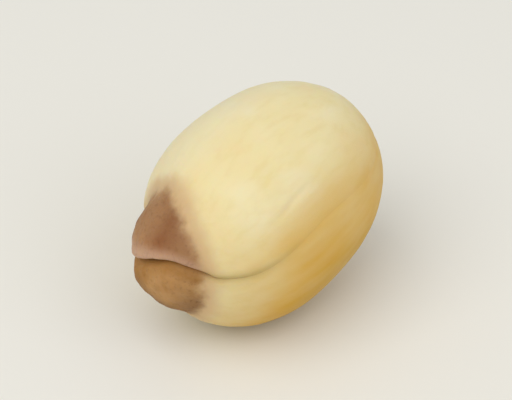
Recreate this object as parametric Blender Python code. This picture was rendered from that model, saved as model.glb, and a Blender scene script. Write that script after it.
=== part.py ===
"""A peeled lotus seed, lying on its side: one solid kernel made of two halves grown together.

The halves meet along a seam that runs round the seed through its tip and its base. At the tip
each half ends in a low brown lobe, with a slight neck behind it. The seam opens there into a
split, where the lower lip rolls in under the upper one, and which narrows along both sides to a
faint crease. The base has a shallow dimple with a small pit in its middle.

The seed is shaped in its own frame first: X towards the tip, Y towards the side of the seam that
faces the viewer, Z through the upper half's cheek. It is then turned to lie as it rests, on a
small flat spot under its lower cheek. Metres, +Z up.
"""

import math

import bmesh
import bpy
from mathutils import Matrix, Vector

NODE_NAME = "lotus_seed"

# Body: an egg whose widest place is the origin of the seed's frame
BODY_WIDTH = 0.0128
BODY_THICKNESS = 0.0144
TIP_REACH = 0.0070
BASE_REACH = 0.0104
TIP_FULLNESS = 2.5
BASE_FULLNESS = 2.2
TAPER_PER_METRE = 9.6

# Seam: the upper half is the thinner one, most of all at the tip, and the seam bends a little
SEAM_ABOVE_MIDDLE = 0.00100
TIP_RISE = 0.00120
TIP_RISE_STARTS = math.radians(-26)
TIP_RISE_TOP = math.radians(8)
TIP_RISE_ENDS = math.radians(33)
SEAM_DIP = 0.00040
SEAM_DIP_AT = math.radians(52)
SEAM_DIP_SPREAD = math.radians(22)
SEAM_RISE = 0.00065
SEAM_RISE_AT = math.radians(110)
SEAM_RISE_SPREAD = math.radians(28)
FAR_RISE = 0.00040
FAR_RISE_AT = math.radians(-85)
FAR_RISE_SPREAD = math.radians(32)

# Split at the tip, and the crease that it fades into
SPLIT_DEPTH = 0.0010
SPLIT_LIP = 0.00050
SPLIT_ENDS_AT = math.radians(109)
SPLIT_CLOSING = 4.2
CREASE_DEPTH = 0.00005
CREASE_LIP = 0.00045

# Lips: the lower one rolls in over the tip and the far side, and the upper one a little
LIP_ROLL = 0.00045
ROLL_WIDTH = 0.0020
UPPER_ROLL_SHARE = 0.35
ROLL_STARTS = (math.radians(-60), math.radians(-30))
ROLL_ENDS = (math.radians(5), math.radians(33))

# Brown lobes at the tip, one on each half
LOBE_HEIGHT = 0.00120
LOBES_ACROSS_SEAM = 0.0094
LOBES_ALONG_SEAM = 0.0082
LOBES_OFF_CENTRE = -0.00075
LOBE_TOP_SHARE = 0.35
LOBE_DOMING = 0.30
LOBE_LEAN = 0.15
LOBE_LEAN_OVER = 0.0020

# Neck behind the lobes, at a share of their oval's edge, and much deeper on the far side
NECK_DEPTH = 0.00054
NECK_AT = 0.90
NECK_SPREAD = 0.14
NECK_NEAR_SHARE = 0.2
NECK_STARTS_AT = 0.0005
NECK_DEEP_AT = -0.0035

# Dimple at the base, with a small pit in its middle that is drawn out along the seam
DIMPLE_DEPTH = 0.00045
DIMPLE_RADIUS = 0.0016
PIT_DEPTH = 0.00060
PIT_LENGTH = 0.0017
PIT_WIDTH = 0.0009

# Rest: how the seed lies, and the flat spot that it lies on
TIP_DROOP = math.radians(8)
SEAM_SIDE_LIFT = math.radians(8)
FLAT_SPOT_DEPTH = 0.00026

# Mesh: columns round the seam, closer at the tip and the base, and rows up each half.
# Every second column ends at each of the thinning rows, so the faces stay even near the cheek.
COLUMNS = 96
COLUMN_CROWDING = 0.29
LIP_ROWS = 5
LIP_ROW_CROWDING = 1.2
CHEEK_ROWS = 23
CHEEK_ROW_CROWDING = 1.3
THINNING_ROWS = (21, 25)
SEARCH_REACH = 0.014
SEARCH_STEPS = 40

CREAM = (0.80, 0.70, 0.41, 1.0)


def clear_scene():
    for old in list(bpy.data.objects):
        bpy.data.objects.remove(old, do_unlink=True)


def smooth_step(start, end, value):
    t = min(max((value - start) / (end - start), 0.0), 1.0)
    return t * t * (3 - 2 * t)


def hump(value, middle, spread):
    return math.exp(-(((value - middle) / spread) ** 2))


def inside_egg(point):
    """True where a point lies inside the plain egg, before lobes, split and dimple."""
    reach, fullness = (TIP_REACH, TIP_FULLNESS) if point.x > 0 else (BASE_REACH, BASE_FULLNESS)
    taper = 1 - TAPER_PER_METRE * point.x
    across = math.hypot(
        point.y / (BODY_WIDTH / 2 * taper),
        (point.z + SEAM_ABOVE_MIDDLE) / (BODY_THICKNESS / 2 * taper),
    )
    return (point.x / reach) ** 2 + across**fullness < 1


def egg_point(direction):
    """The egg's surface along a direction from the middle of the seam plane."""
    near, far = 0.0, SEARCH_REACH
    for _ in range(SEARCH_STEPS):
        middle = (near + far) / 2
        if inside_egg(direction * middle):
            near = middle
        else:
            far = middle
    return direction * near


def seam_height(angle):
    """How far the seam lies off its plane, at an angle round it from the tip."""
    tip = TIP_RISE * smooth_step(TIP_RISE_STARTS, TIP_RISE_TOP, angle)
    tip *= smooth_step(TIP_RISE_ENDS, TIP_RISE_TOP, angle)
    dip = SEAM_DIP * hump(angle, SEAM_DIP_AT, SEAM_DIP_SPREAD)
    rise = SEAM_RISE * hump(angle, SEAM_RISE_AT, SEAM_RISE_SPREAD)
    far_rise = FAR_RISE * hump(angle, FAR_RISE_AT, FAR_RISE_SPREAD)
    return tip - dip + rise + far_rise


def split_size(angle):
    """Depth of the groove on the seam and the width of one of its lips."""
    openness = max(1 - abs(angle) / SPLIT_ENDS_AT, 0.0)
    depth = CREASE_DEPTH + (SPLIT_DEPTH - CREASE_DEPTH) * openness**SPLIT_CLOSING
    lip = CREASE_LIP + (SPLIT_LIP - CREASE_LIP) * openness**1.3
    return depth, lip


def roll_depth(angle, side):
    """How far a lip rolls in, at an angle round the seam, on the upper half (+1) or lower (-1)."""
    share = UPPER_ROLL_SHARE if side > 0 else 1
    return share * LIP_ROLL * smooth_step(*ROLL_STARTS, angle) * (1 - smooth_step(*ROLL_ENDS, angle))


def lobe_oval(point):
    """Distance from the middle of the lobes' oval, as a share of its edge's distance."""
    return math.hypot(
        (point.y - LOBES_OFF_CENTRE) / (LOBES_ALONG_SEAM / 2),
        point.z / (LOBES_ACROSS_SEAM / 2),
    )


def lobe_height(point):
    """How far the tip's lobes stand out from the egg, along X: a little further on the lower half."""
    if point.x <= 0:
        return 0.0
    u = lobe_oval(point)
    height = LOBE_HEIGHT * (1 - LOBE_DOMING * u * u) * (1 - smooth_step(LOBE_TOP_SHARE, 1.0, u))
    return height * (1 - LOBE_LEAN * math.tanh(point.z / LOBE_LEAN_OVER))


def neck_depth(point):
    """How far the surface is drawn in behind the lobes, towards the seed's middle."""
    if point.x <= 0:
        return 0.0
    ring = hump(lobe_oval(point), NECK_AT, NECK_SPREAD)
    far_side = smooth_step(NECK_STARTS_AT, NECK_DEEP_AT, point.y)
    return NECK_DEPTH * ring * (NECK_NEAR_SHARE + (1 - NECK_NEAR_SHARE) * far_side)


def dimple_depth(point):
    if point.x >= 0:
        return 0.0
    off_axis = math.hypot(point.y, point.z)
    dimple = DIMPLE_DEPTH * hump(off_axis, 0, DIMPLE_RADIUS)
    in_pit = math.hypot(point.y / (PIT_LENGTH / 2), point.z / (PIT_WIDTH / 2))
    return dimple + PIT_DEPTH * hump(in_pit, 0, 1)


def surface_point(angle, side, row):
    """One point of the seed: angle round the seam, side +1 for the upper half, row from the seam."""
    outward = Vector((math.cos(angle), math.sin(angle), 0.0))
    seam_radius = egg_point(outward).length
    seam_lift = math.atan2(seam_height(angle), seam_radius)
    depth, lip = split_size(angle)
    lip_angle = lip / seam_radius
    pole_angle = math.pi / 2 - side * seam_lift
    if row <= LIP_ROWS:
        rise = lip_angle * (row / LIP_ROWS) ** LIP_ROW_CROWDING
    else:
        share = (row - LIP_ROWS) / CHEEK_ROWS
        rise = lip_angle + (pole_angle - lip_angle) * share**CHEEK_ROW_CROWDING
    lift = seam_lift + side * rise
    point = egg_point(outward * math.cos(lift) + Vector((0, 0, math.sin(lift))))
    point.x += lobe_height(point)
    point -= point.normalized() * neck_depth(point)
    roll = roll_depth(angle, side)
    rolled = roll * max(1 - rise * seam_radius / ROLL_WIDTH, 0.0) ** 2
    point -= outward * ((depth - roll) * max(1 - rise / lip_angle, 0.0) ** 2 + rolled)
    point.x += dimple_depth(point)
    return point


def column_angles():
    for column in range(COLUMNS):
        even = math.tau * column / COLUMNS - math.pi
        yield even - COLUMN_CROWDING * math.sin(2 * even)


def bridge(mesh, below, above):
    """A band of faces from one ring of points to the next."""
    for column in range(len(above)):
        after = (column + 1) % len(above)
        mesh.faces.new((below[column], below[after], above[after], above[column]))


def thinning_bridge(mesh, below, above):
    """A band of faces to a ring with half as many points."""
    for column in range(len(above)):
        after = (column + 1) % len(above)
        first, middle, last = below[2 * column], below[2 * column + 1], below[2 * after]
        mesh.faces.new((first, middle, above[column]))
        mesh.faces.new((middle, above[after], above[column]))
        mesh.faces.new((middle, last, above[after]))


def close_cheek(mesh, ring, pole):
    for column in range(len(ring)):
        mesh.faces.new((ring[column], ring[(column + 1) % len(ring)], pole))


def shape_half(mesh, seam_ring, angles, side):
    """The rows of one half from the seam up to its cheek, where the last row is one point."""
    below = seam_ring
    for row in range(1, LIP_ROWS + CHEEK_ROWS):
        if row in THINNING_ROWS:
            angles = angles[::2]
        ring = [mesh.verts.new(surface_point(angle, side, row)) for angle in angles]
        if row in THINNING_ROWS:
            thinning_bridge(mesh, below, ring)
        else:
            bridge(mesh, below, ring)
        below = ring
    pole = mesh.verts.new(egg_point(Vector((0, 0, side))))
    close_cheek(mesh, below, pole)


def resting_turn():
    """From the seed's frame to the way it lies: tip to -X and a little down, seam side to -Y."""
    half_turn = Matrix.Rotation(math.pi, 4, "Z")
    droop = Matrix.Rotation(TIP_DROOP, 4, "Y")
    lift = Matrix.Rotation(SEAM_SIDE_LIFT, 4, "X")
    return half_turn @ droop @ lift


def settle(mesh):
    """Lay the seed down: press its lowest points into a flat spot and centre it over the origin."""
    mesh.transform(resting_turn())
    floor = min(vert.co.z for vert in mesh.verts) + FLAT_SPOT_DEPTH
    for vert in mesh.verts:
        vert.co.z = max(vert.co.z, floor)
    xs = [vert.co.x for vert in mesh.verts]
    ys = [vert.co.y for vert in mesh.verts]
    middle = Vector(((min(xs) + max(xs)) / 2, (min(ys) + max(ys)) / 2, floor))
    mesh.transform(Matrix.Translation(-middle))


def kernel_material():
    material = bpy.data.materials.new("peeled_kernel")
    material.use_nodes = True
    shader = material.node_tree.nodes["Principled BSDF"]
    shader.inputs["Base Color"].default_value = CREAM
    shader.inputs["Roughness"].default_value = 0.55
    shader.inputs["Metallic"].default_value = 0.0
    return material


def make_seed():
    angles = list(column_angles())
    mesh = bmesh.new()
    seam_ring = [mesh.verts.new(surface_point(angle, 1, 0)) for angle in angles]
    shape_half(mesh, seam_ring, angles, 1)
    shape_half(mesh, seam_ring, angles, -1)
    settle(mesh)
    bmesh.ops.triangulate(mesh, faces=mesh.faces[:])
    bmesh.ops.recalc_face_normals(mesh, faces=mesh.faces[:])
    data = bpy.data.meshes.new(NODE_NAME)
    mesh.to_mesh(data)
    mesh.free()
    data.shade_smooth()
    data.materials.append(kernel_material())
    seed = bpy.data.objects.new(NODE_NAME, data)
    bpy.context.scene.collection.objects.link(seed)
    return seed


clear_scene()
make_seed()
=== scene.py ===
"""A peeled lotus seed, and the small pale studio that it is shown in.

The seed follows the egg, seam, split, lobes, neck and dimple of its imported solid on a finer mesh.
It then gets the low relief of a real kernel: uneven cheeks, faint lengthwise ribs, a shallow
crease along the near cheek, a puckered base, wavy lips, and a thin wrinkled skin that is left on
the lobes.

It is shaped in its own frame first: X towards the tip, Y towards the side of the seam that faces
the viewer, Z through the upper half's cheek. It is then turned to lie as it rests. Metres, +Z up.
"""

import math

import bpy
import numpy as np
from mathutils import Matrix, Vector, noise


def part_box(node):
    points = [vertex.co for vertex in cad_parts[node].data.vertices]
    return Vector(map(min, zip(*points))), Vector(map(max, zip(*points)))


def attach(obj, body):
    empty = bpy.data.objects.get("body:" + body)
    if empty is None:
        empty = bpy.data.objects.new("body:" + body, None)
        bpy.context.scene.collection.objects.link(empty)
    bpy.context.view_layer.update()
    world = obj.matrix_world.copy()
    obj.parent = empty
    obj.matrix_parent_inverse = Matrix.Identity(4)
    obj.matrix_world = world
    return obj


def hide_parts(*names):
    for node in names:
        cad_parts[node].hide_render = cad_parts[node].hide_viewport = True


bl_info = {
    "name": "Lotus Seed",
    "version": (1, 0, 0),
    "blender": (4, 5, 0),
    "location": "3D View > Sidebar > Lotus Seed",
    "description": "Builds a peeled lotus seed and a small studio round it",
    "category": "Add Mesh",
}

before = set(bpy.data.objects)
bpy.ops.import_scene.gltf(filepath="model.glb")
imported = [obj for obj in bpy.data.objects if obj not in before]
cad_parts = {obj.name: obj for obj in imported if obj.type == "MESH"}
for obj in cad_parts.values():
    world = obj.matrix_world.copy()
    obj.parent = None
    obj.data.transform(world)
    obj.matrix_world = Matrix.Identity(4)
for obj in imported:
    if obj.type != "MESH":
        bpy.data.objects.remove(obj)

NODE = "lotus_seed"
MM = 0.001

# Stands for out of reach, in any unit, at places that a pattern doesn't come to
OUT_OF_REACH = 9

# Body: an egg whose widest place is the origin of the seed's own frame
TIP_FULLNESS = 2.5
BASE_FULLNESS = 2.2
TAPER_PER_METRE = 9.6

# Seam: the upper half is the thinner one, most of all at the tip, and the seam bends a little
SEAM_ABOVE_MIDDLE = 1.0 * MM
TIP_RISE = 1.2 * MM
TIP_RISE_STARTS = math.radians(-26)
TIP_RISE_TOP = math.radians(8)
TIP_RISE_ENDS = math.radians(33)
SEAM_DIP = 0.4 * MM
SEAM_DIP_AT = math.radians(52)
SEAM_DIP_SPREAD = math.radians(22)
SEAM_RISE = 0.65 * MM
SEAM_RISE_AT = math.radians(110)
SEAM_RISE_SPREAD = math.radians(28)
FAR_RISE = 0.4 * MM
FAR_RISE_AT = math.radians(-85)
FAR_RISE_SPREAD = math.radians(32)

# Split at the tip, and the crease that it fades into
SPLIT_ENDS_AT = math.radians(109)
SPLIT_CLOSING = 4.2
LIP_THINNING = 1.3
CREASE_DEPTH = 0.05 * MM
CREASE_LIP = 0.45 * MM

# Lips: the lower one rolls in over the tip and the far side, and the upper one a little
ROLL_WIDTH = 2.0 * MM
UPPER_ROLL_SHARE = 0.35
ROLL_STARTS = (math.radians(-60), math.radians(-30))
ROLL_ENDS = (math.radians(5), math.radians(33))

# Lobes at the tip, one on each half
LOBES_ACROSS_SEAM = 9.4 * MM
LOBES_ALONG_SEAM = 8.2 * MM
LOBES_OFF_CENTRE = -0.75 * MM
LOBE_TOP_SHARE = 0.35
LOBE_DOMING = 0.3
LOBE_LEAN = 0.15
LOBE_LEAN_OVER = 2.0 * MM

# Neck behind the lobes, at a share of their oval's edge, and much deeper on the far side
NECK_AT = 0.90
NECK_SPREAD = 0.14
NECK_NEAR_SHARE = 0.2
NECK_STARTS_AT = 0.5 * MM
NECK_DEEP_AT = -3.5 * MM

# Brown skin left on the lobes: an oval with an uneven edge, drawn to a point above the seam
SKIN_ABOVE_SEAM = 4.25 * MM
SKIN_BELOW_SEAM = 4.5 * MM
SKIN_ALONG_SEAM = 7.5 * MM
SKIN_ALONG_LOWER = 6.9 * MM
SKIN_HALVES_MEET = 0.8 * MM
SKIN_POINTEDNESS = 1.5
SKIN_LEAN = 0.05
SKIN_ROUNDNESS = 2.2
SKIN_EDGE_WANDER = 0.3 * MM
SKIN_EDGE_PERIOD = 1.8 * MM
SKIN_LEAST_SLOPE = 0.1 / MM

# Dimple at the base, with a small pit in its middle that is drawn out along the seam
DIMPLE_RADIUS = 1.6 * MM
PIT_DEPTH = 0.6 * MM
PIT_LENGTH = 1.7 * MM
PIT_WIDTH = 0.9 * MM

# Relief: periods of its swells, ribs, waves and wrinkles, and how far they are drawn out
SWELL_PERIOD = 6.5 * MM
RIB_PERIOD = 0.8 * MM
RIB_STRETCH = (9, 1, 1)
WAVE_PERIOD = 2.2 * MM
WRINKLE_PERIOD = 0.55 * MM
WRINKLE_STRETCH = (3, 1, 1.6)

# Waves of the lips: how far off the seam they reach, and how much is left of them at the crease
WAVES_REACH = 1.0 * MM
WAVES_AT_CREASE = 0.3

# Step at the skin's edge: where it starts and where the skin has its full thickness
SKIN_STEP = (-0.15 * MM, 0.2 * MM)

# Folds round the base's pit: how many, where they are highest, and how they wander
FOLDS = 13
FOLDS_OFF_AXIS = 1.2 * MM
FOLDS_SPREAD = 0.8 * MM
FOLD_WANDER = 3
FOLD_WANDER_PERIOD = 2.5 * MM

# Shallow crease along the near cheek, above the seam
CHEEK_CREASE_DEPTH = 0.09 * MM
CHEEK_CREASE_ABOVE_SEAM = 2.65 * MM
CHEEK_CREASE_WIDTH = 0.25 * MM
CHEEK_CREASE_AT = math.radians(92)
CHEEK_CREASE_SPREAD = math.radians(18)

# Hollow in the face of each lobe
HOLLOW_OFF_CENTRE = -0.5 * MM
HOLLOW_ALONG_SEAM = 2.3 * MM
HOLLOW_OFF_SEAM = 2.6 * MM
HOLLOW_ACROSS_SEAM = 1.0 * MM

# Walls of the split: how wide each is, and where the split is open enough to have them
WALL_WIDTH = 0.6 * MM
WALL_OPENNESS = (0.3, 0.7)

# Skin's finish: where the skin, its halo and its dark rim start and are full, inside its edge
SKIN_FADE = (-0.65 * MM, 0.65 * MM)
HALO_FADE = (-1.8 * MM, -0.2 * MM)
HALO_SHARE = 0.9
RIM_FADE = (2.3 * MM, 0.3 * MM)

# Rim: it comes out downwards along Z and on the far side along Y, where painted shade darkens it,
# and is faint elsewhere
RIM_DOWNWARDS = (0, -2.5 * MM)
RIM_ON_FAR_SIDE = (-1.5 * MM, -4 * MM)
RIM_LEAST = 0.35

# Painted shade on the underside of the lower lobe, as dark as the rim: how far down and to the far
# side it starts
UNDERSIDE_FADE = (0.8 * MM, 2.4 * MM)
UNDERSIDE_DOWN = 0.8
UNDERSIDE_FAR = 0.5
UNDERSIDE_SHARE = 0.95

# Crest beside the split, which widens towards the far side along Y: partly rosy skin and partly a
# painted highlight on the upper lip, and painted shade on the lower lobe below it
CREST_WIDTH = 1.1 * MM
CREST_WIDER = 0.9 * MM
CREST_WIDENS = (1.5 * MM, -2.5 * MM)
CREST_FADE = (1.0, 0.35)

# Rust in the middle of the upper lobe: its place along Y and Z
RUST_PLACE = (0.4 * MM, 2.6 * MM)
RUST_SPREAD = 1.25 * MM
RUST_SHARE = 0.85

# Amber flesh, partly the kernel's own deeper yellow and partly painted shade with warm reflected
# light: where it starts and is full along X, across along Y and off the seam
AMBER_BEHIND_LOBES = (7.8 * MM, 1 * MM)
AMBER_ACROSS = (-3 * MM, 3.5 * MM)
AMBER_OFF_SEAM = (4.4 * MM, -6 * MM)
AMBER_MOST = 0.96

# Deeper amber in a band along the seam: painted shade where the lip turns down into it
AMBER_BAND_AT = 0.6 * MM
AMBER_BAND_SPREAD = 1.6 * MM
AMBER_BAND_SHARE = 0.24

# Amber by height: it is weaker beside the floor, and a little of it lies low down all round as
# painted shade
AMBER_OFF_FLOOR = (0, 2.4 * MM)
AMBER_AT_FLOOR = 0.35
AMBER_LOW_DOWN = (7 * MM, 0.5 * MM)
AMBER_LOW_SHARE = 0.18

# Amber's patches and its lengthwise streaks
AMBER_PATCH_PERIOD = 3.5 * MM
AMBER_PATCH_SHARE = 0.2
AMBER_STREAK_PERIOD = 0.9 * MM
AMBER_STREAK_STRETCH = (6, 1, 1)
AMBER_STREAK_SHARE = 0.16

# Olive painted shade along the seam, where the lip turns down into it, from the split to where only
# the crease is left
SEAM_LINE_AT = 0.1 * MM
SEAM_LINE_SPREAD = 0.42 * MM
SEAM_LINE_OPENNESS = (0.1, 0.6)
SEAM_LINE_SHARE = 0.6

# Olive painted shade on the near flank low down: where it is full across along Y, back along X and
# off the seam
OLIVE_ACROSS = (-2 * MM, 2.5 * MM)
OLIVE_BACK = (4.5 * MM, 0)
OLIVE_OFF_SEAM = (-2 * MM, -5.5 * MM)
OLIVE_SHARE = 0.35

# Painted light: paler flesh on the far side's top, where the light falls: across along Y and
# upwards along Z
LIT_TOP_ACROSS = (1.5 * MM, -2 * MM)
LIT_TOP_UPWARDS = (0, 4 * MM)
LIT_TOP_SHARE = 0.5

# Change from the lower half's skin to the upper half's, and how far the painted shade of the pit
# spreads
HALVES_FADE = (-0.1 * MM, 0.1 * MM)
PIT_SHADE_SPREAD = 0.8

# Painted patterns and fine bumps: their real sizes in millimetres
PATCH_MM = 3.2
MOTTLE_MM = 0.6
BLOTCH_MM = 1.2
SPECK_MM = 0.25
FLECK_MM = 0.3
DULL_PATCH_MM = 1.3
GRAIN_MM = 0.12
RIB_MM = 0.5
WRINKLE_MM = 0.35

# How much each paint or finish takes from the pattern that it follows
RUST_FROM_BLOTCHES = 0.5
HONEY_SHADE_BY_SPLIT = 0.65
RIM_DARKNESS = 0.63
FLECK_SHARE = 0.3
SKIN_DULLNESS = 0.14

# Fine bumps: how high they are together, and the share of each kind
BUMP_HEIGHT = 0.05 * MM
GRAIN_SHARE = 0.25
RIB_SHARE = 0.4
WRINKLE_SHARE = 1.3

# Noise: how much weaker and how much finer each octave is than the one before
NOISE_FALLOFF = 1.0
NOISE_LACUNARITY = 2.0

# Rest: how the seed lies, and how far its lowest cheek is pressed flat
TIP_DROOP = math.radians(8)
SEAM_SIDE_LIFT = math.radians(8)
FLAT_SPOT_DEPTH = 0.26 * MM

# Mesh: columns round the seam, closer at the tip and the base, and rows up each half
COLUMNS = 512
COLUMN_CROWDING = 0.29
LIP_ROWS = 14
LIP_ROW_CROWDING = 1.2
CHEEK_ROWS = 76
CHEEK_ROW_CROWDING = 1.3
SEARCH_REACH = 14 * MM
SEARCH_STEPS = 34

# Studio: the floor, the camera's long lens, and how far above the seed's middle it aims
FLOOR_HALF_WIDTH = 0.6
LENS_MM = 300
AIM_ABOVE_MIDDLE = 0.35 * MM

# Masks that the finish, painted light and painted shade are painted by, stored on the mesh point by
# point
MASKS = (
    "covered", "rim", "lit_top", "halo", "crest", "rust", "upper", "olive_shade", "sunk_mm", "pit", "amber",
)

# Sockets of the Mix node when it mixes colours
MIX_AMOUNT = 0
MIX_FIRST = 6
MIX_SECOND = 7


def linear(hex_colour):
    """An sRGB hex colour as linear red, green, blue and alpha."""
    parts = [int(hex_colour[i : i + 2], 16) / 255 for i in (1, 3, 5)]
    parts = [c / 12.92 if c <= 0.04045 else ((c + 0.055) / 1.055) ** 2.4 for c in parts]
    return (*parts, 1.0)


def length(name, description, default):
    return bpy.props.FloatProperty(
        name=name, description=description, default=default, min=0, precision=5, unit="LENGTH"
    )


def colour(name, description, default):
    return bpy.props.FloatVectorProperty(
        name=name, description=description, default=linear(default), size=4, min=0, max=1,
        subtype="COLOR",
    )


class LotusSeedShape(bpy.types.PropertyGroup):
    """Sizes of the seed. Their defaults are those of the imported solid."""

    body_width: length("Body width", "Across the seed, along the seam's plane", 12.8 * MM)
    body_thickness: length("Body thickness", "Across the seed, from cheek to cheek", 14.4 * MM)
    tip_reach: length("Tip reach", "From the widest place to the tip, without the lobes", 7.0 * MM)
    base_reach: length("Base reach", "From the widest place to the base", 10.4 * MM)
    split_depth: length("Split depth", "How deep the seam opens at the tip", 1.0 * MM)
    split_lip: length("Split lip", "Width of one rounded lip of the split at the tip", 0.5 * MM)
    lip_roll: length("Lip roll", "How far the lower lip rolls in at the split", 0.45 * MM)
    lobe_height: length("Lobe height", "How far the lobes stand out from the egg", 1.2 * MM)
    neck_depth: length("Neck depth", "How far the far side is drawn in behind the lobes", 0.54 * MM)
    dimple_depth: length("Dimple depth", "How deep the base is drawn in round its pit", 0.45 * MM)


class LotusSeedRelief(bpy.types.PropertyGroup):
    """Low relief that is laid over the seed's shape."""

    unevenness: length("Unevenness", "Slow swells and hollows of the cheeks", 0.10 * MM)
    ribs: length("Ribs", "Faint lengthwise ribs", 0.022 * MM)
    lip_waves: length("Lip waves", "How much the lips of the seam wander", 0.09 * MM)
    pucker: length("Pucker", "Folds that run out from the base's pit", 0.06 * MM)
    skin: length("Skin", "Thickness of the brown skin left on the lobes", 0.05 * MM)
    wrinkles: length("Wrinkles", "Fine wrinkles of that skin", 0.05 * MM)
    lobe_hollow: length("Lobe hollow", "How far each lobe's face is sunk", 0.20 * MM)


class LotusSeedColours(bpy.types.PropertyGroup):
    """Colours of the kernel and of the skin that is left on its tip. Some of them also paint light
    and shade.
    """

    cream: colour("Cream", "The kernel's flesh where it is dry and well lit", "#EADBA8")
    # Pale cream also paints light on the far side's top
    pale: colour("Pale cream", "Chalkier patches of the flesh, and its dry far side", "#EEE4C0")
    peach: colour("Peach", "Warmer patches of the flesh", "#EBCB92")
    straw: colour("Straw", "Fine, deeper mottling of the flesh", "#DCC57C")
    # Amber: partly the kernel's own deeper yellow, partly painted shade and warm reflected light
    # low on the cheeks and below the seam
    amber: colour("Amber", "Damp, thicker flesh low on the cheeks and below the seam", "#D6A228")
    halo: colour("Halo", "The rubbed ring of flesh round the skin", "#D3B184")
    # Olive: painted shade in the nearly closed seam and on the flank low down
    olive_shade: colour("Olive", "The nearly closed seam, and the flank low down", "#B39A5A")
    brown: colour("Brown", "The skin left on the upper lobe", "#B2875E")
    rust: colour("Rust", "Its darker, redder middle", "#925F39")
    # Rose: partly the rubbed skin's colour, partly a painted highlight where the crest catches the
    # light
    rose: colour("Rose", "Its rubbed crest beside the split", "#C69F82")
    tan: colour("Tan", "The skin left on the lower lobe", "#C0935E")
    # Honey: browner skin patches, and painted shade on the split's walls and below the upper lip
    honey: colour("Honey", "Browner patches of that skin, and the walls of the split", "#A6783F")
    # Bark: the skin's rim, and also painted shade below the lower lobe, deep in the split and in
    # the base's pit
    bark: colour("Bark", "The skin's thick outer rim, and the bottom of the split", "#6B4729")


class LotusSeedStudio(bpy.types.PropertyGroup):
    """The floor, the light and the camera."""

    floor: colour("Floor", "The pale floor", "#EBE9E1")
    azimuth: bpy.props.FloatProperty(
        name="Azimuth", description="Camera's place round the seed", default=math.radians(-45.6),
        subtype="ANGLE",
    )
    elevation: bpy.props.FloatProperty(
        name="Elevation", description="Camera's height above the floor", default=math.radians(41),
        subtype="ANGLE",
    )
    view_width: length("View width", "How much the picture takes in across the seed", 32.8 * MM)


def smooth_step(start, end, value):
    t = np.clip((value - start) / (end - start), 0, 1)
    return t * t * (3 - 2 * t)


def hump(value, middle, spread):
    return np.exp(-(((value - middle) / spread) ** 2))


def noise_at(points, period, octaves=2, stretch=(1, 1, 1)):
    """Smooth noise of about -0.7 to 0.7 with a period, drawn out where stretch is over 1."""
    places = points / (period * np.array(stretch))
    octave_rules = (NOISE_FALLOFF, NOISE_LACUNARITY, octaves)
    return np.array([noise.fractal(Vector(place), *octave_rules) for place in places])


def inside_egg(shape, points):
    """Which points lie inside the plain egg, before lobes, neck, split and dimple."""
    x, y, z = points.T
    reach = np.where(x > 0, shape.tip_reach, shape.base_reach)
    fullness = np.where(x > 0, TIP_FULLNESS, BASE_FULLNESS)
    taper = 1 - TAPER_PER_METRE * x
    across = np.hypot(
        y / (shape.body_width / 2 * taper),
        (z + SEAM_ABOVE_MIDDLE) / (shape.body_thickness / 2 * taper),
    )
    return (x / reach) ** 2 + across**fullness < 1


def egg_points(shape, directions):
    """The egg's surface along directions from the middle of the seam plane."""
    near = np.zeros(len(directions))
    far = np.full(len(directions), SEARCH_REACH)
    for _ in range(SEARCH_STEPS):
        middle = (near + far) / 2
        inside = inside_egg(shape, directions * middle[:, None])
        near = np.where(inside, middle, near)
        far = np.where(inside, far, middle)
    return directions * near[:, None]


def seam_height(angles):
    """How far the seam lies off its plane, at angles round it from the tip."""
    tip = TIP_RISE * smooth_step(TIP_RISE_STARTS, TIP_RISE_TOP, angles)
    tip *= smooth_step(TIP_RISE_ENDS, TIP_RISE_TOP, angles)
    dip = SEAM_DIP * hump(angles, SEAM_DIP_AT, SEAM_DIP_SPREAD)
    rise = SEAM_RISE * hump(angles, SEAM_RISE_AT, SEAM_RISE_SPREAD)
    far_rise = FAR_RISE * hump(angles, FAR_RISE_AT, FAR_RISE_SPREAD)
    return tip - dip + rise + far_rise


def split_openness(angles):
    """How open the seam is: 1 in the middle of the tip and 0 where only a crease is left."""
    return np.maximum(1 - np.abs(angles) / SPLIT_ENDS_AT, 0)


def roll_share(angles):
    """How fully the lips roll in, at angles round the seam."""
    return smooth_step(*ROLL_STARTS, angles) * (1 - smooth_step(*ROLL_ENDS, angles))


def lobe_oval(points):
    """Distance from the middle of the lobes' oval, as a share of its edge's distance."""
    return np.hypot(
        (points[:, 1] - LOBES_OFF_CENTRE) / (LOBES_ALONG_SEAM / 2),
        points[:, 2] / (LOBES_ACROSS_SEAM / 2),
    )


def lobe_height(shape, points):
    """How far the lobes stand out from the egg, along X."""
    u = lobe_oval(points)
    domed = shape.lobe_height * (1 - LOBE_DOMING * u * u)
    height = domed * (1 - smooth_step(LOBE_TOP_SHARE, 1, u))
    lean = 1 - LOBE_LEAN * np.tanh(points[:, 2] / LOBE_LEAN_OVER)
    return np.where(points[:, 0] > 0, height * lean, 0)


def neck_depth(shape, points):
    """How far the surface is drawn in behind the lobes, towards the seed's middle."""
    ring = hump(lobe_oval(points), NECK_AT, NECK_SPREAD)
    far_side = smooth_step(NECK_STARTS_AT, NECK_DEEP_AT, points[:, 1])
    share = NECK_NEAR_SHARE + (1 - NECK_NEAR_SHARE) * far_side
    return np.where(points[:, 0] > 0, shape.neck_depth * ring * share, 0)


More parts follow.
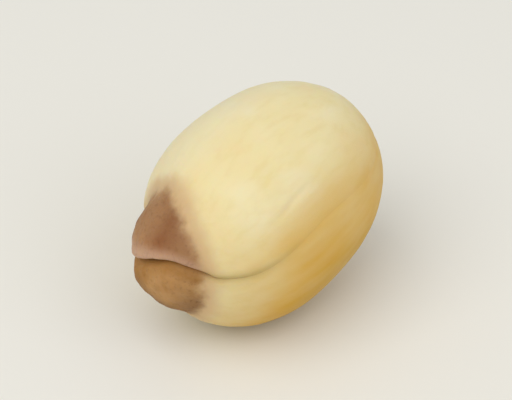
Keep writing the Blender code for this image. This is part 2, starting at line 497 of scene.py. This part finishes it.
def skin_oval(points):
    """Distance from the middle of the brown skin, as a share of its edge's distance."""
    above = points[:, 2] > 0
    power = np.where(above, SKIN_POINTEDNESS, SKIN_ROUNDNESS)
    across = np.abs(points[:, 2]) / np.where(above, SKIN_ABOVE_SEAM, SKIN_BELOW_SEAM)
    lower = smooth_step(SKIN_HALVES_MEET, -SKIN_HALVES_MEET, points[:, 2])
    reach = (SKIN_ALONG_SEAM + (SKIN_ALONG_LOWER - SKIN_ALONG_SEAM) * lower) / 2
    middle = LOBES_OFF_CENTRE + SKIN_LEAN * np.maximum(points[:, 2], 0)
    along = np.abs(points[:, 1] - middle) / reach
    return (across**power + along**power) ** (1 / power)


def dimple_place(points):
    """Distance from the middle of the base's pit, as a share of its edge's distance."""
    in_pit = np.hypot(points[:, 1] / (PIT_LENGTH / 2), points[:, 2] / (PIT_WIDTH / 2))
    return np.where(points[:, 0] < 0, in_pit, OUT_OF_REACH)


def dimple_depth(shape, points):
    off_axis = np.hypot(points[:, 1], points[:, 2])
    dimple = shape.dimple_depth * hump(off_axis, 0, DIMPLE_RADIUS)
    return np.where(points[:, 0] < 0, dimple + PIT_DEPTH * hump(dimple_place(points), 0, 1), 0)


def row_rises(lip_angle, pole_angle):
    """Angles from the seam up to the cheek's pole, one row after another, for each column."""
    lip = (np.arange(LIP_ROWS) / LIP_ROWS) ** LIP_ROW_CROWDING
    cheek = (np.arange(CHEEK_ROWS) / CHEEK_ROWS) ** CHEEK_ROW_CROWDING
    return np.concatenate(
        [np.outer(lip, lip_angle), lip_angle + np.outer(cheek, pole_angle - lip_angle)]
    )


def half_surface(shape, angles, side):
    """One half's points, row by row from the seam, with notes on where each lies.

    The notes are how far it is sunk into the split or the crease, how far it is off the seam, below
    zero on the lower half, and its angle round the seam from the tip.
    """
    outward = np.stack([np.cos(angles), np.sin(angles), np.zeros(len(angles))], axis=1)
    radius = np.linalg.norm(egg_points(shape, outward), axis=1)
    seam_lift = np.arctan2(seam_height(angles), radius)
    openness = split_openness(angles)
    depth = CREASE_DEPTH + (shape.split_depth - CREASE_DEPTH) * openness**SPLIT_CLOSING
    lip = CREASE_LIP + (shape.split_lip - CREASE_LIP) * openness**LIP_THINNING
    lip_angle = lip / radius
    rises = row_rises(lip_angle, math.pi / 2 - side * seam_lift)
    lift = seam_lift + side * rises
    upwards = np.array([0, 0, 1])
    directions = outward * np.cos(lift)[..., None] + upwards * np.sin(lift)[..., None]
    points = egg_points(shape, directions.reshape(-1, 3))
    points[:, 0] += lobe_height(shape, points)
    inwards = points / np.linalg.norm(points, axis=1, keepdims=True)
    points -= inwards * neck_depth(shape, points)[:, None]
    roll = shape.lip_roll * roll_share(angles) * (1 if side < 0 else UPPER_ROLL_SHARE)
    sunk = (depth - roll) * np.maximum(1 - rises / lip_angle, 0) ** 2
    sunk = sunk + roll * np.maximum(1 - rises * radius / ROLL_WIDTH, 0) ** 2
    points -= (outward * sunk[..., None]).reshape(-1, 3)
    points[:, 0] += dimple_depth(shape, points)
    notes = {
        "sunk": sunk.ravel(),
        "off_seam": side * (rises * radius).ravel(),
        "angle": np.tile(angles, len(rises)),
    }
    return points, notes


def grid_faces(first, rows, flip):
    """Quads between rows of points that run all the way round, from the point number first."""
    row, column = np.meshgrid(np.arange(rows - 1), np.arange(COLUMNS), indexing="ij")
    after = (column + 1) % COLUMNS
    corners = [first + row * COLUMNS + column, first + row * COLUMNS + after]
    corners += [corners[1] + COLUMNS, corners[0] + COLUMNS]
    quads = np.stack([c.ravel() for c in corners], axis=1)
    return quads[:, ::-1] if flip else quads


def cap_faces(ring, pole, flip):
    """Triangles from the last row of points to the pole."""
    after = np.roll(ring, -1)
    fans = np.stack([ring, after, np.full(COLUMNS, pole)], axis=1)
    return fans[:, ::-1] if flip else fans


def whole_surface(shape):
    """Points, faces and notes of the whole seed, with both halves on one seam."""
    even = math.tau * np.arange(COLUMNS) / COLUMNS - math.pi
    angles = even - COLUMN_CROWDING * np.sin(2 * even)
    upper, upper_notes = half_surface(shape, angles, 1)
    lower, lower_notes = half_surface(shape, angles, -1)
    poles = egg_points(shape, np.array([[0.0, 0.0, 1.0], [0.0, 0.0, -1.0]]))
    points = np.concatenate([upper, lower[COLUMNS:], poles])
    pole_notes = {"sunk": [0, 0], "off_seam": [OUT_OF_REACH, -OUT_OF_REACH], "angle": [0, 0]}
    notes = {
        name: np.concatenate([upper_notes[name], lower_notes[name][COLUMNS:], pole_notes[name]])
        for name in upper_notes
    }
    rows = LIP_ROWS + CHEEK_ROWS
    ring = np.arange(COLUMNS)
    lower_first = rows * COLUMNS
    total = len(points)
    seam_band = np.stack(
        [ring, np.roll(ring, -1), lower_first + np.roll(ring, -1), lower_first + ring], axis=1
    )
    faces = [
        grid_faces(0, rows, False),
        grid_faces(lower_first, rows - 1, True),
        seam_band[:, ::-1],
        cap_faces(ring + (rows - 1) * COLUMNS, total - 2, False),
        cap_faces(ring + total - 2 - COLUMNS, total - 1, True),
    ]
    return points, [face for part in faces for face in part.tolist()], notes


def skin_depth(points):
    """How far inside the brown skin's uneven edge each point lies, along the surface."""
    oval = skin_oval(points)
    step = 0.01 * MM
    rises = [(skin_oval(points + step * axis) - oval) / step for axis in np.eye(3)]
    slope = np.stack(rises, axis=1)
    outward = points / np.linalg.norm(points, axis=1, keepdims=True)
    slope -= outward * np.sum(slope * outward, axis=1, keepdims=True)
    steepness = np.maximum(np.linalg.norm(slope, axis=1), SKIN_LEAST_SLOPE)
    uneven = SKIN_EDGE_WANDER * noise_at(points, SKIN_EDGE_PERIOD, 3)
    return np.where(points[:, 0] > 0, (1 - oval) / steepness + uneven, -OUT_OF_REACH)


def amber_and_shade_share(points, notes, height):
    """How amber the flesh is: along and below the near seam, and a little low down all round. It is
    partly the kernel's own deeper yellow and partly painted shade with warm reflected light.
    """
    off_seam = notes["off_seam"]
    behind_lobes = smooth_step(*AMBER_BEHIND_LOBES, points[:, 0])
    flank = smooth_step(*AMBER_ACROSS, points[:, 1])
    band = AMBER_BAND_SHARE * hump(off_seam, AMBER_BAND_AT, AMBER_BAND_SPREAD)
    downwards = smooth_step(*AMBER_OFF_SEAM, off_seam) + band
    off_floor = AMBER_AT_FLOOR + (1 - AMBER_AT_FLOOR) * smooth_step(*AMBER_OFF_FLOOR, height)
    low = AMBER_LOW_SHARE * smooth_step(*AMBER_LOW_DOWN, height)
    amber = low + downwards * flank * behind_lobes * off_floor
    patches = AMBER_PATCH_SHARE * noise_at(points, AMBER_PATCH_PERIOD, 2)
    streaks = noise_at(points, AMBER_STREAK_PERIOD, 3, AMBER_STREAK_STRETCH)
    patchy = 1 + patches + AMBER_STREAK_SHARE * streaks
    return np.clip(amber * patchy, 0, AMBER_MOST)


def finish_masks(points, notes, skin, height):
    """Where each finish, painted light and painted shade shows on the seed, from 0 to 1 or in
    millimetres, by its place.
    """
    x, y, z = points.T
    off_seam = notes["off_seam"]
    openness = split_openness(notes["angle"])
    # Rim: the skin's own dark rim, strengthened by painted shade where the lobes turn down and to
    # the far side
    shade_side = np.maximum(smooth_step(*RIM_DOWNWARDS, z), smooth_step(*RIM_ON_FAR_SIDE, y))
    rim = smooth_step(*RIM_FADE, skin) * np.maximum(shade_side, RIM_LEAST)
    # Underside of the lower lobe: painted shade
    far_down = -UNDERSIDE_DOWN * z - UNDERSIDE_FAR * y
    underside_shade = UNDERSIDE_SHARE * smooth_step(*UNDERSIDE_FADE, far_down)
    # Crest beside the split: painted highlight on the upper lip and painted shade on the lower lobe
    # below it
    crest_width = CREST_WIDTH + CREST_WIDER * smooth_step(*CREST_WIDENS, y)
    from_rust = np.hypot(y - RUST_PLACE[0], z - RUST_PLACE[1])
    # Far side's top: painted light, paler flesh where the light falls
    far_top = smooth_step(*LIT_TOP_ACROSS, y) * smooth_step(*LIT_TOP_UPWARDS, z)
    # Olive: painted shade along the seam and on the near flank low down
    seam_shade = SEAM_LINE_SHARE * hump(off_seam, SEAM_LINE_AT, SEAM_LINE_SPREAD)
    seam_shade *= smooth_step(*SEAM_LINE_OPENNESS, openness)
    near_flank = smooth_step(*OLIVE_ACROSS, y) * smooth_step(*OLIVE_BACK, x)
    flank_shade = OLIVE_SHARE * smooth_step(*OLIVE_OFF_SEAM, off_seam) * near_flank
    return {
        "covered": smooth_step(*SKIN_FADE, skin),
        "rim": np.maximum(rim, underside_shade),
        "halo": HALO_SHARE * smooth_step(*HALO_FADE, skin),
        "crest": smooth_step(*CREST_FADE, np.abs(off_seam) / crest_width),
        "rust": RUST_SHARE * hump(from_rust, 0, RUST_SPREAD),
        "upper": smooth_step(*HALVES_FADE, off_seam),
        "lit_top": LIT_TOP_SHARE * far_top,
        "olive_shade": np.maximum(seam_shade, flank_shade),
        "sunk_mm": notes["sunk"] / MM,
        "pit": hump(dimple_place(points), 0, PIT_SHADE_SPREAD),
        "amber": amber_and_shade_share(points, notes, height),
    }


def relief(settings, points, notes, skin):
    """How far each point moves outwards, square to the surface."""
    x, y, z = points.T
    above_seam = notes["off_seam"]
    off_seam = np.abs(above_seam)
    openness = split_openness(notes["angle"])
    covered = smooth_step(*SKIN_STEP, skin)
    swell = settings.unevenness * noise_at(points, SWELL_PERIOD, 2)
    ribs = settings.ribs * noise_at(points, RIB_PERIOD, 2, RIB_STRETCH) * (1 - covered)
    near_lips = hump(off_seam, 0, WAVES_REACH)
    near_lips *= WAVES_AT_CREASE + (1 - WAVES_AT_CREASE) * openness
    waves = settings.lip_waves * noise_at(points, WAVE_PERIOD, 2) * near_lips
    wander = FOLD_WANDER * noise_at(points, FOLD_WANDER_PERIOD)
    folds = np.cos(FOLDS * np.arctan2(z, y) + wander)
    round_pit = hump(np.hypot(y, z), FOLDS_OFF_AXIS, FOLDS_SPREAD) * (x <= 0)
    pucker = settings.pucker * folds * round_pit
    crease = -CHEEK_CREASE_DEPTH * hump(above_seam, CHEEK_CREASE_ABOVE_SEAM, CHEEK_CREASE_WIDTH)
    crease *= hump(notes["angle"], CHEEK_CREASE_AT, CHEEK_CREASE_SPREAD)
    wrinkles = settings.wrinkles * noise_at(points, WRINKLE_PERIOD, 3, WRINKLE_STRETCH) * covered
    hollow = hump(y, HOLLOW_OFF_CENTRE, HOLLOW_ALONG_SEAM)
    hollow *= hump(off_seam, HOLLOW_OFF_SEAM, HOLLOW_ACROSS_SEAM)
    skin_height = settings.skin * covered + wrinkles - settings.lobe_hollow * hollow * covered
    height = swell + ribs + waves + pucker + crease + skin_height

    # Split: its walls get no relief, so that they don't run into each other
    wall = smooth_step(WALL_WIDTH, 0, off_seam) * smooth_step(*WALL_OPENNESS, openness)
    return height * (1 - wall)


def lay_down(plain, worked):
    """Turn the worked points as the seed lies, press them flat and keep them in the solid's box."""
    turn = (
        Matrix.Rotation(math.pi, 3, "Z")
        @ Matrix.Rotation(TIP_DROOP, 3, "Y")
        @ Matrix.Rotation(SEAM_SIDE_LIFT, 3, "X")
    )
    turn = np.array(turn)
    plain = plain @ turn.T
    worked = worked @ turn.T
    low, high = (np.array(corner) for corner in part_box(NODE))
    middle = (plain.min(axis=0) + plain.max(axis=0)) / 2
    middle[2] = plain[:, 2].min() + FLAT_SPOT_DEPTH
    centre = np.array([(low[0] + high[0]) / 2, (low[1] + high[1]) / 2, low[2]])
    worked = worked - middle
    worked[:, 2] = np.maximum(worked[:, 2], 0)
    reach = np.maximum(worked.max(axis=0), -worked.min(axis=0))
    room = np.array([(high[0] - low[0]) / 2, (high[1] - low[1]) / 2, high[2] - low[2]])
    return centre + worked * np.minimum(1, room / reach)


def store(mesh, name, values):
    layer = mesh.attributes.new(name, "FLOAT", "POINT")
    layer.data.foreach_set("value", values.astype(np.float32))


def make_kernel(shape, settings):
    """The seed's mesh, with the places that its finish is painted by."""
    plain, faces, notes = whole_surface(shape)
    mesh = bpy.data.meshes.new("peeled_seed")
    mesh.from_pydata(plain.tolist(), [], faces)
    mesh.update()
    normals = np.empty(len(plain) * 3, np.float32)
    mesh.vertex_normals.foreach_get("vector", normals)
    skin = skin_depth(plain)
    height = relief(settings, plain, notes, skin)
    worked = plain + normals.reshape(-1, 3) * height[:, None]
    laid = lay_down(plain, worked)
    mesh.vertices.foreach_set("co", laid.astype(np.float32).ravel())
    mesh.update()
    mesh.shade_smooth()
    place = mesh.attributes.new("grown_place", "FLOAT_VECTOR", "POINT")
    place.data.foreach_set("vector", (plain / MM).astype(np.float32).ravel())
    for name, values in finish_masks(plain, notes, skin, laid[:, 2]).items():
        store(mesh, name, values)
    seed = bpy.data.objects.new("peeled_seed", mesh)
    bpy.context.scene.collection.objects.link(seed)
    return seed


def add_node(tree, kind, sockets=None, **options):
    """Add a node. Sockets get a value, or a link where another node or its output is given."""
    node = tree.nodes.new(kind)
    for name, value in options.items():
        setattr(node, name, value)
    for name, value in (sockets or {}).items():
        if isinstance(value, bpy.types.Node):
            value = next(socket for socket in value.outputs if socket.enabled)
        if isinstance(value, bpy.types.NodeSocket):
            tree.links.new(value, node.inputs[name])
        else:
            node.inputs[name].default_value = value
    return node


def flesh_colour(tree, colours, place, masks):
    """Raw flesh: ivory, with faint chalky and peach patches, finer mottling and amber flanks. The
    amber flanks are partly painted shade, the seam and the flank low down get painted shade, and
    the far side's top gets painted light.
    """
    patches = add_node(
        tree, "ShaderNodeTexNoise", {"Vector": place, "Scale": 1 / PATCH_MM, "Detail": 1.5}
    )
    chalky = add_node(
        tree, "ShaderNodeMapRange",
        {"Value": patches, "From Min": 0.45, "From Max": 0.75, "To Max": 0.5},
        interpolation_type="SMOOTHSTEP",
    )
    flesh = add_node(
        tree, "ShaderNodeMix",
        {MIX_AMOUNT: chalky, MIX_FIRST: colours.cream, MIX_SECOND: colours.pale}, data_type="RGBA",
    )
    peachy = add_node(
        tree, "ShaderNodeMapRange",
        {"Value": patches, "From Min": 0.50, "From Max": 0.25, "To Max": 0.25},
        interpolation_type="SMOOTHSTEP",
    )
    flesh = add_node(
        tree, "ShaderNodeMix",
        {MIX_AMOUNT: peachy, MIX_FIRST: flesh, MIX_SECOND: colours.peach}, data_type="RGBA",
    )
    drawn_out = add_node(tree, "ShaderNodeMapping", {"Vector": place, "Scale": (0.35, 1, 1)})
    mottles = add_node(
        tree, "ShaderNodeTexNoise", {"Vector": drawn_out, "Scale": 1 / MOTTLE_MM, "Detail": 4.0}
    )
    mottled = add_node(
        tree, "ShaderNodeMapRange",
        {"Value": mottles, "From Min": 0.42, "From Max": 0.75, "To Max": 0.22},
        interpolation_type="SMOOTHSTEP",
    )
    flesh = add_node(
        tree, "ShaderNodeMix",
        {MIX_AMOUNT: mottled, MIX_FIRST: flesh, MIX_SECOND: colours.straw}, data_type="RGBA",
    )
    # Painted light: paler flesh on the far side's top
    flesh = add_node(
        tree, "ShaderNodeMix",
        {MIX_AMOUNT: masks["lit_top"], MIX_FIRST: flesh, MIX_SECOND: colours.pale}, data_type="RGBA",
    )
    # Amber: partly the flesh's own colour, partly painted shade and warm reflected light
    flesh = add_node(
        tree, "ShaderNodeMix",
        {MIX_AMOUNT: masks["amber"], MIX_FIRST: flesh, MIX_SECOND: colours.amber},
        data_type="RGBA",
    )
    flesh = add_node(
        tree, "ShaderNodeMix",
        {MIX_AMOUNT: masks["halo"], MIX_FIRST: flesh, MIX_SECOND: colours.halo}, data_type="RGBA",
    )
    # Olive painted shade along the seam and low on the flank
    return add_node(
        tree, "ShaderNodeMix",
        {MIX_AMOUNT: masks["olive_shade"], MIX_FIRST: flesh, MIX_SECOND: colours.olive_shade},
        data_type="RGBA",
    )


def skin_colour(tree, colours, place, masks):
    """Left-over skin: brown with a redder middle and a rosy crest above the split, tan below. The
    crest is partly a painted highlight, and the honey below it and the bark at the rim and below
    the lower lobe are partly painted shade.
    """
    blotches = add_node(
        tree, "ShaderNodeTexNoise", {"Vector": place, "Scale": 1 / BLOTCH_MM, "Detail": 2.0}
    )
    blotchy = add_node(
        tree, "ShaderNodeMapRange",
        {"Value": blotches, "From Min": 0.38, "From Max": 0.75, "To Max": 0.6},
        interpolation_type="SMOOTHSTEP",
    )
    red = add_node(
        tree, "ShaderNodeMath", {0: blotchy, 1: RUST_FROM_BLOTCHES, 2: masks["rust"]},
        operation="MULTIPLY_ADD",
    )
    upper = add_node(
        tree, "ShaderNodeMix",
        {MIX_AMOUNT: red, MIX_FIRST: colours.brown, MIX_SECOND: colours.rust}, data_type="RGBA",
    )
    # Rose crest: partly the skin's colour, partly painted highlight
    upper = add_node(
        tree, "ShaderNodeMix",
        {MIX_AMOUNT: masks["crest"], MIX_FIRST: upper, MIX_SECOND: colours.rose}, data_type="RGBA",
    )
    # Honey below the split, under the upper lip: painted shade, mixed with real blotches
    shade_and_blotches = add_node(
        tree, "ShaderNodeMath", {0: masks["crest"], 1: HONEY_SHADE_BY_SPLIT, 2: blotchy},
        operation="MULTIPLY_ADD", use_clamp=True,
    )
    lower = add_node(
        tree, "ShaderNodeMix",
        {MIX_AMOUNT: shade_and_blotches, MIX_FIRST: colours.tan, MIX_SECOND: colours.honey},
        data_type="RGBA",
    )
    skin = add_node(
        tree, "ShaderNodeMix",
        {MIX_AMOUNT: masks["upper"], MIX_FIRST: lower, MIX_SECOND: upper}, data_type="RGBA",
    )
    specks = add_node(
        tree, "ShaderNodeTexNoise", {"Vector": place, "Scale": 1 / SPECK_MM, "Detail": 3.0}
    )
    speckled = add_node(
        tree, "ShaderNodeMapRange",
        {"Value": specks, "From Min": 0.50, "From Max": 0.75, "To Max": 0.22},
        interpolation_type="SMOOTHSTEP",
    )
    # Bark: the skin's rim, with painted shade below the lower lobe and where the lobes turn away
    dark = add_node(
        tree, "ShaderNodeMath", {0: masks["rim"], 1: RIM_DARKNESS, 2: speckled},
        operation="MULTIPLY_ADD",
    )
    return add_node(
        tree, "ShaderNodeMix",
        {MIX_AMOUNT: dark, MIX_FIRST: skin, MIX_SECOND: colours.bark}, data_type="RGBA",
    )


def kernel_grain(tree, place, covered):
    """Bumps too low for the mesh: fine grain, lengthwise ribs, and wrinkles where skin is left."""
    fine = add_node(
        tree, "ShaderNodeTexNoise", {"Vector": place, "Scale": 1 / GRAIN_MM, "Detail": 2.0}
    )
    drawn_out = add_node(tree, "ShaderNodeMapping", {"Vector": place, "Scale": (0.2, 1, 1)})
    ribs = add_node(
        tree, "ShaderNodeTexNoise", {"Vector": drawn_out, "Scale": 1 / RIB_MM, "Detail": 3.0}
    )
    wrinkles = add_node(
        tree, "ShaderNodeTexNoise", {"Vector": place, "Scale": 1 / WRINKLE_MM, "Detail": 4.0}
    )
    wrinkled = add_node(tree, "ShaderNodeMath", {0: wrinkles, 1: covered}, operation="MULTIPLY")
    height = add_node(tree, "ShaderNodeMath", {0: fine, 1: GRAIN_SHARE}, operation="MULTIPLY")
    height = add_node(
        tree, "ShaderNodeMath", {0: ribs, 1: RIB_SHARE, 2: height}, operation="MULTIPLY_ADD"
    )
    height = add_node(
        tree, "ShaderNodeMath", {0: wrinkled, 1: WRINKLE_SHARE, 2: height},
        operation="MULTIPLY_ADD",
    )
    return add_node(
        tree, "ShaderNodeBump", {"Height": height, "Distance": BUMP_HEIGHT, "Strength": 0.8}
    )


def waxy_kernel(colours):
    """Peeled lotus kernel: raw, starchy flesh under a thin waxy surface, dried in air.

    The kernel lets light in for about a millimetre, so its shadows are soft and warm, and its
    surface has a broad dull shine. The brown skin left on the lobes is drier and shines less.
    """
    material = bpy.data.materials.new("waxy_lotus_kernel")
    material.use_nodes = True
    tree = material.node_tree
    tree.nodes.clear()
    place = add_node(tree, "ShaderNodeAttribute", attribute_name="grown_place").outputs["Vector"]
    masks = {
        name: add_node(tree, "ShaderNodeAttribute", attribute_name=name).outputs["Fac"]
        for name in MASKS
    }

    # Skin: its edge breaks up into flecks
    flecks = add_node(
        tree, "ShaderNodeTexNoise", {"Vector": place, "Scale": 1 / FLECK_MM, "Detail": 3.0}
    )
    covered = add_node(
        tree, "ShaderNodeMath", {0: flecks, 1: FLECK_SHARE, 2: masks["covered"]},
        operation="MULTIPLY_ADD",
    )
    covered = add_node(
        tree, "ShaderNodeMapRange", {"Value": covered, "From Min": 0.2, "From Max": 1.1},
        interpolation_type="SMOOTHSTEP",
    )
    flesh = flesh_colour(tree, colours, place, masks)
    skin = skin_colour(tree, colours, place, masks)
    surface = add_node(
        tree, "ShaderNodeMix", {MIX_AMOUNT: covered, MIX_FIRST: flesh, MIX_SECOND: skin},
        data_type="RGBA",
    )

    # Split and pit: painted shade, with honey-coloured walls that darken inwards
    wall_shade = add_node(
        tree, "ShaderNodeMapRange", {"Value": masks["sunk_mm"], "From Min": 0.15, "From Max": 0.6},
        interpolation_type="SMOOTHSTEP",
    )
    surface = add_node(
        tree, "ShaderNodeMix",
        {MIX_AMOUNT: wall_shade, MIX_FIRST: surface, MIX_SECOND: colours.honey}, data_type="RGBA",
    )
    deep = add_node(
        tree, "ShaderNodeMapRange", {"Value": masks["sunk_mm"], "From Min": 0.55, "From Max": 1.1},
        interpolation_type="SMOOTHSTEP",
    )
    deep = add_node(tree, "ShaderNodeMath", {0: deep, 1: masks["pit"]}, operation="MAXIMUM")
    surface = add_node(
        tree, "ShaderNodeMix",
        {MIX_AMOUNT: deep, MIX_FIRST: surface, MIX_SECOND: colours.bark}, data_type="RGBA",
    )

    # Shine: dull all over in soft patches, and a little duller on the skin
    dull = add_node(
        tree, "ShaderNodeTexNoise", {"Vector": place, "Scale": 1 / DULL_PATCH_MM, "Detail": 3.0}
    )
    dull = add_node(
        tree, "ShaderNodeMapRange",
        {"Value": dull, "From Min": 0.3, "From Max": 0.7, "To Min": 0.48, "To Max": 0.58},
    )
    dull = add_node(
        tree, "ShaderNodeMath", {0: covered, 1: SKIN_DULLNESS, 2: dull},
        operation="MULTIPLY_ADD",
    )
    shader_sockets = {
        "Base Color": surface,
        "Roughness": dull,
        "IOR": 1.45,
        "Specular IOR Level": 0.25,
        "Subsurface Weight": 0.35,
        "Subsurface Radius": (1.0, 0.55, 0.18),
        "Subsurface Scale": 0.9 * MM,
        "Normal": kernel_grain(tree, place, covered),
    }
    shader = add_node(tree, "ShaderNodeBsdfPrincipled", shader_sockets)
    add_node(tree, "ShaderNodeOutputMaterial", {"Surface": shader})
    return material


def glazed_floor(colour_of_floor):
    """Glazed earthenware, off-white: a faint wide shine, with no pattern."""
    material = bpy.data.materials.new("off_white_glaze")
    material.use_nodes = True
    tree = material.node_tree
    tree.nodes.clear()
    sockets = {"Base Color": colour_of_floor, "Roughness": 0.5, "Specular IOR Level": 0.3}
    shader = add_node(tree, "ShaderNodeBsdfPrincipled", sockets)
    add_node(tree, "ShaderNodeOutputMaterial", {"Surface": shader})
    return material


def lay_floor(studio):
    half = FLOOR_HALF_WIDTH
    mesh = bpy.data.meshes.new("studio_floor")
    corners = [(-half, -half, 0), (half, -half, 0), (half, half, 0), (-half, half, 0)]
    mesh.from_pydata(corners, [], [(0, 1, 2, 3)])
    mesh.materials.append(glazed_floor(studio.floor))
    floor = bpy.data.objects.new("studio_floor", mesh)
    bpy.context.scene.collection.objects.link(floor)


def direction_from(azimuth, elevation):
    """Unit vector towards a place round the seed: azimuth 0 is at -Y and 90 degrees at +X."""
    return Vector(
        (
            math.sin(azimuth) * math.cos(elevation),
            -math.cos(azimuth) * math.cos(elevation),
            math.sin(elevation),
        )
    )


def hang_softbox(name, azimuth, elevation, distance, size, power, tint):
    """A square area light that faces the seed."""
    light = bpy.data.lights.new(name, "AREA")
    light.size = size
    light.energy = power
    light.color = tint[:3]
    box = bpy.data.objects.new(name, light)
    towards = direction_from(azimuth, elevation)
    box.location = towards * distance
    box.rotation_mode = "QUATERNION"
    box.rotation_quaternion = towards.to_track_quat("Z", "Y")
    box.visible_camera = False
    bpy.context.scene.collection.objects.link(box)


def fill_with_daylight(strength):
    world = bpy.data.worlds.new("pale_room")
    world.use_nodes = True
    background = world.node_tree.nodes["Background"]
    background.inputs["Color"].default_value = linear("#F4F6F8")
    background.inputs["Strength"].default_value = strength
    bpy.context.scene.world = world


def place_camera(studio):
    """A long lens at the photograph's angle, so that the seed's outline isn't bent."""
    lens = bpy.data.cameras.new("seed_camera")
    lens.lens = LENS_MM
    camera = bpy.data.objects.new("seed_camera", lens)
    low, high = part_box(NODE)
    towards = direction_from(studio.azimuth, studio.elevation)
    distance = studio.view_width * lens.lens / lens.sensor_width
    camera.rotation_mode = "QUATERNION"
    camera.rotation_quaternion = towards.to_track_quat("Z", "Y")
    upwards = camera.rotation_quaternion @ Vector((0, 1, 0))
    camera.location = (low + high) / 2 + towards * distance + upwards * AIM_ABOVE_MIDDLE
    lens.clip_start = 0.01
    lens.clip_end = 10
    bpy.context.scene.collection.objects.link(camera)
    bpy.context.scene.camera = camera


class LOTUS_OT_make_seed(bpy.types.Operator):
    """Make the peeled seed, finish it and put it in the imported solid's place"""

    bl_idname = "lotus.make_seed"
    bl_label = "Make Seed"

    def execute(self, context):
        scene = context.scene
        seed = make_kernel(scene.lotus_shape, scene.lotus_relief)
        seed.data.materials.append(waxy_kernel(scene.lotus_colours))
        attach(seed, "root")
        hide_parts(NODE)
        return {"FINISHED"}


class LOTUS_OT_set_studio(bpy.types.Operator):
    """Lay the pale floor, hang the soft lights and place the camera"""

    bl_idname = "lotus.set_studio"
    bl_label = "Set Studio"

    def execute(self, context):
        studio = context.scene.lotus_studio
        lay_floor(studio)
        hang_softbox(
            "key_softbox", studio.azimuth - math.radians(45), math.radians(62),
            distance=0.34, size=0.32, power=0.55, tint=linear("#FFFBF5"),
        )
        hang_softbox(
            "front_softbox", studio.azimuth + math.radians(50), math.radians(48),
            distance=0.4, size=0.3, power=0.30, tint=linear("#FFFFFF"),
        )
        fill_with_daylight(strength=0.6)
        place_camera(studio)
        context.scene.view_settings.view_transform = "Standard"
        return {"FINISHED"}


class LOTUS_PT_panel(bpy.types.Panel):
    """Lists the seed's and the studio's steps and settings"""

    bl_idname = "LOTUS_PT_panel"
    bl_label = "Lotus Seed"
    bl_space_type = "VIEW_3D"
    bl_region_type = "UI"
    bl_category = "Lotus Seed"

    def draw(self, context):
        layout = self.layout
        layout.operator(LOTUS_OT_make_seed.bl_idname)
        layout.operator(LOTUS_OT_set_studio.bl_idname)
        for title, name in SETTINGS:
            box = layout.box()
            box.label(text=title)
            group = getattr(context.scene, name)
            for field in type(group).__annotations__:
                box.prop(group, field)


SETTINGS = (
    ("Shape", "lotus_shape"),
    ("Relief", "lotus_relief"),
    ("Colours", "lotus_colours"),
    ("Studio", "lotus_studio"),
)
GROUPS = (LotusSeedShape, LotusSeedRelief, LotusSeedColours, LotusSeedStudio)
CLASSES = GROUPS + (LOTUS_OT_make_seed, LOTUS_OT_set_studio, LOTUS_PT_panel)


def register():
    for item in CLASSES:
        bpy.utils.register_class(item)
    for (_, name), group in zip(SETTINGS, GROUPS):
        setattr(bpy.types.Scene, name, bpy.props.PointerProperty(type=group))


def unregister():
    for _, name in SETTINGS:
        delattr(bpy.types.Scene, name)
    for item in reversed(CLASSES):
        bpy.utils.unregister_class(item)


def main():
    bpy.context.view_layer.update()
    register()
    bpy.ops.lotus.make_seed()
    bpy.ops.lotus.set_studio()


if __name__ == "__main__":
    main()
